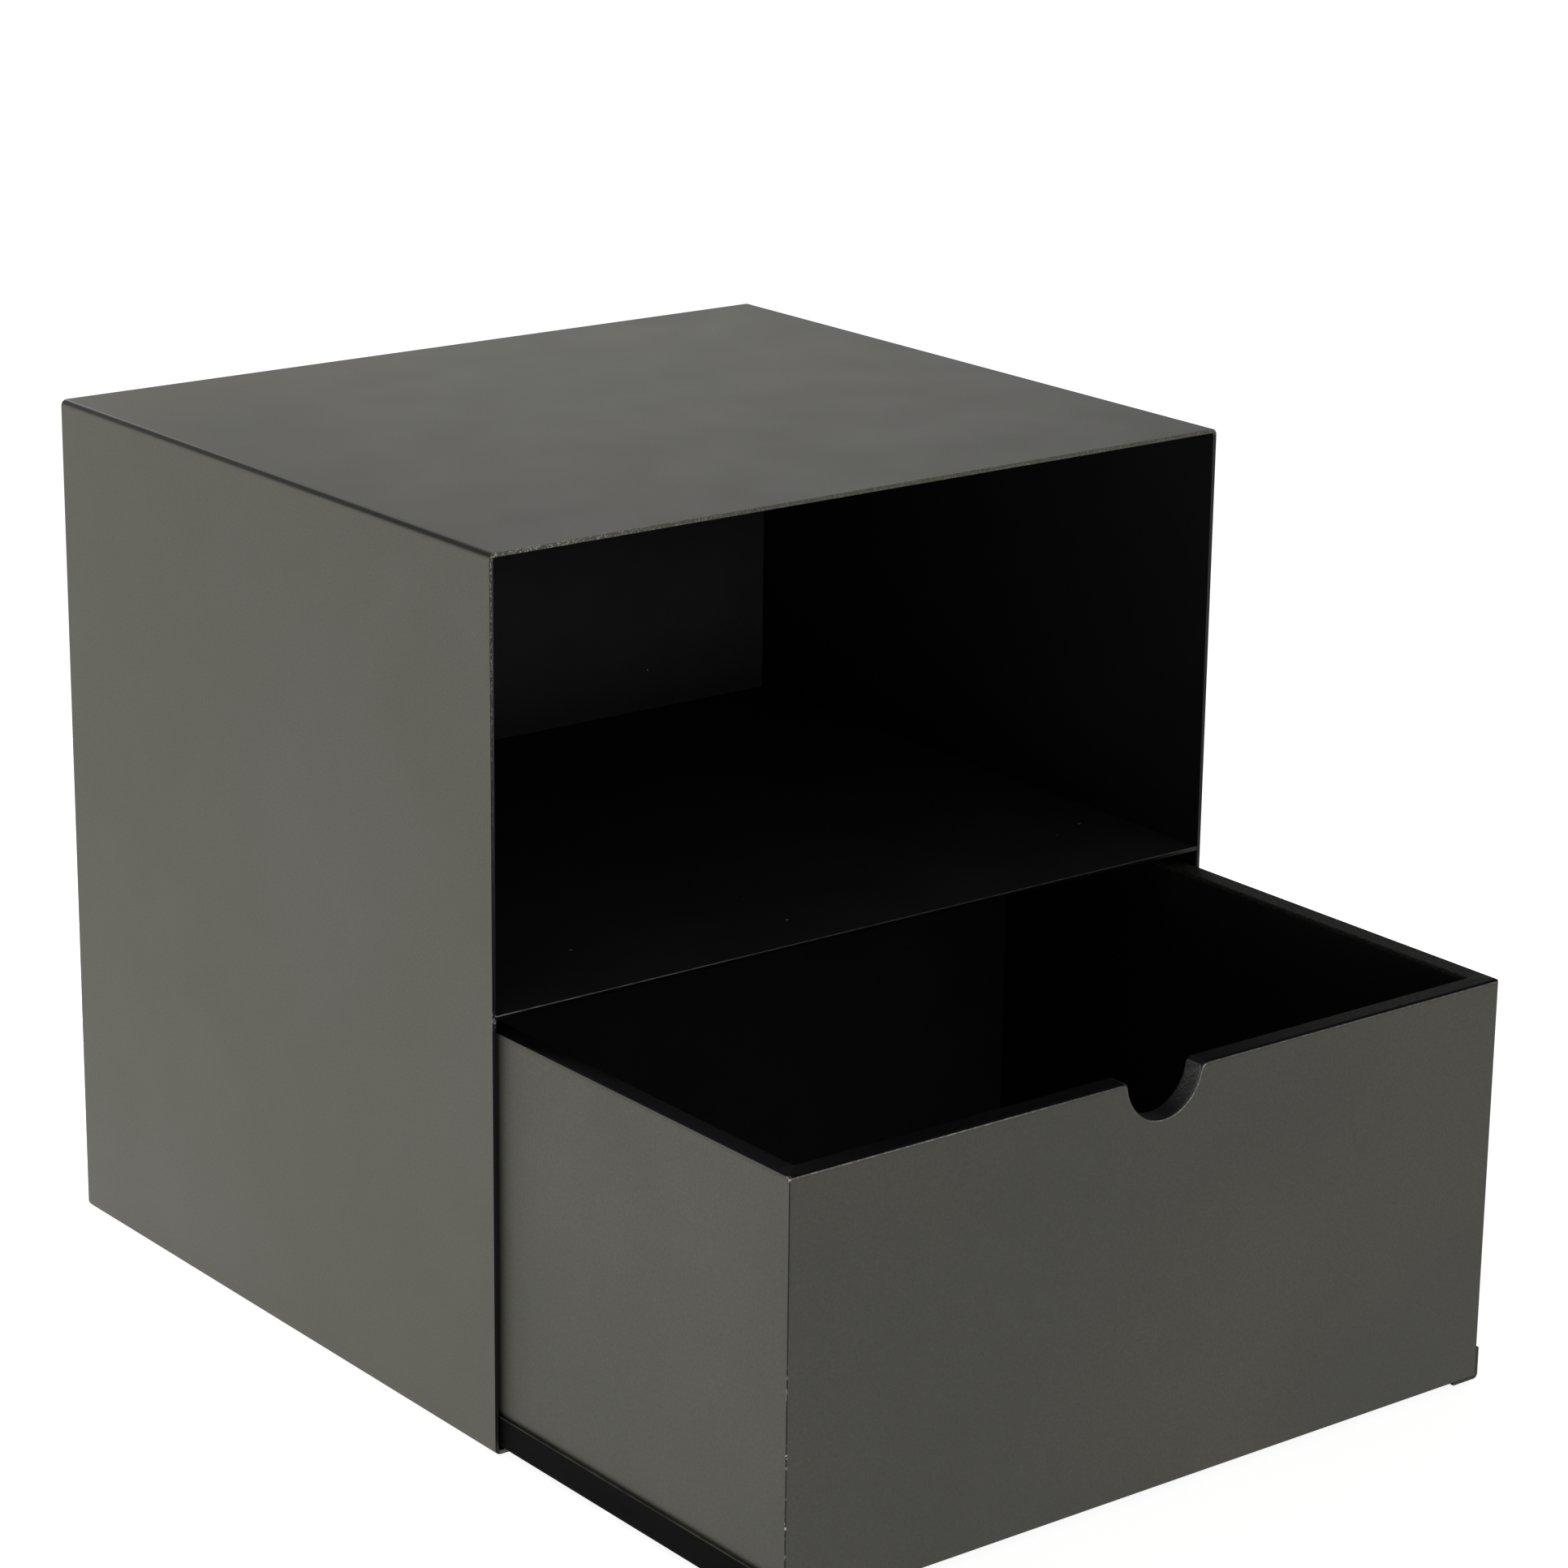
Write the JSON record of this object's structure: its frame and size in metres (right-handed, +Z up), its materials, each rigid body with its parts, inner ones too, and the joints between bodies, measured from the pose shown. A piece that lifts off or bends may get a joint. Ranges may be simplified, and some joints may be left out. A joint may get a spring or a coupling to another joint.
{
  "type": "storage cube with drawer",
  "caption": "Steel storage cube with an open compartment above a box drawer that slides out by a finger notch.",
  "frame": {"origin": "middle of the casing's underside, on the surface it stands on", "axes": "+X to the right across the front, -Y out of the front in the direction the drawer opens, +Z up"},
  "size_m": [0.4, 0.547, 0.4],
  "materials": {
    "casing_lacquer": "matt grey-olive lacquer outside, black inside",
    "black_lacquer": "matt black lacquer",
    "drawer_board": "fibreboard, satin grey-olive lacquer outside, black inside and on the top edge",
    "drawer_black_board": "fibreboard, black lacquer",
    "buffer_rubber": "matt",
    "zinc_screw": "zinc plated",
    "beech": "raw beech"
  },
  "bodies": {
    "casing": {"casing_shell": "casing_lacquer", "back_panel": "black_lacquer", "shelf": "black_lacquer", "drawer_stop": "black_lacquer", "closing_buffers": "buffer_rubber"},
    "drawer": {"drawer_front": "drawer_board", "drawer_left_side": "drawer_board", "drawer_right_side": "drawer_board", "drawer_back": "drawer_black_board", "drawer_bottom": "drawer_black_board", "left_runner": "black_lacquer", "right_runner": "black_lacquer", "runner_screws": "zinc_screw", "corner_dowels": "beech"}
  },
  "joints": [
    {"name": "drawer_slide", "type": "slide", "parent": "casing", "child": "drawer", "axis": [0, -1, 0], "range_m": [-0.197, 0.053]}
  ]
}
